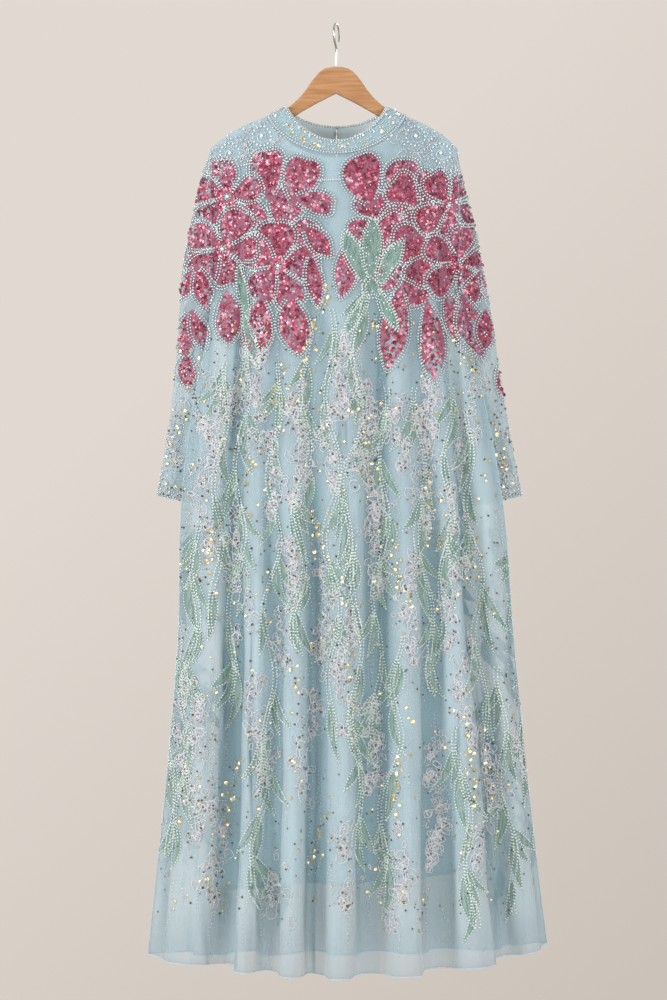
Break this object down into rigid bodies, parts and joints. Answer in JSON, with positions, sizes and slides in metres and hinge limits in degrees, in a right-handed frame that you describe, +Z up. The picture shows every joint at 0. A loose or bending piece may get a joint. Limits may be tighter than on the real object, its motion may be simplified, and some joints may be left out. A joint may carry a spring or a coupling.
{
  "type": "beaded tulle kaftan on a wooden hanger",
  "caption": "Floor-length beaded tulle kaftan over a plain lining, with long sleeves and a neck band, hanging open and empty on a wooden hanger.",
  "frame": {"origin": "inside of the hook's crown, where the rail carries the hanger", "axes": "+Z up, the front of the kaftan faces -Y, +X to the right of someone who looks at its front"},
  "size_m": [0.6597, 0.2576, 1.5535],
  "materials": {
    "tulle": "sheer net with beads, sequins and corded lace",
    "band": "close beading on net",
    "lining": "soft matt crepe",
    "wood": "clear satin lacquer",
    "steel": "polished",
    "plastic": "smooth"
  },
  "bodies": {
    "root": {"front_panel": "tulle", "back_panel": "tulle", "sleeve_left": "tulle", "sleeve_right": "tulle", "neck_band": "band", "lining_front": "lining", "lining_back": "lining", "hanger_body": "wood", "hanger_hook": "steel", "hook_tube": "plastic", "neck_eye": "steel", "neck_hook": "steel"}
  },
  "joints": []
}
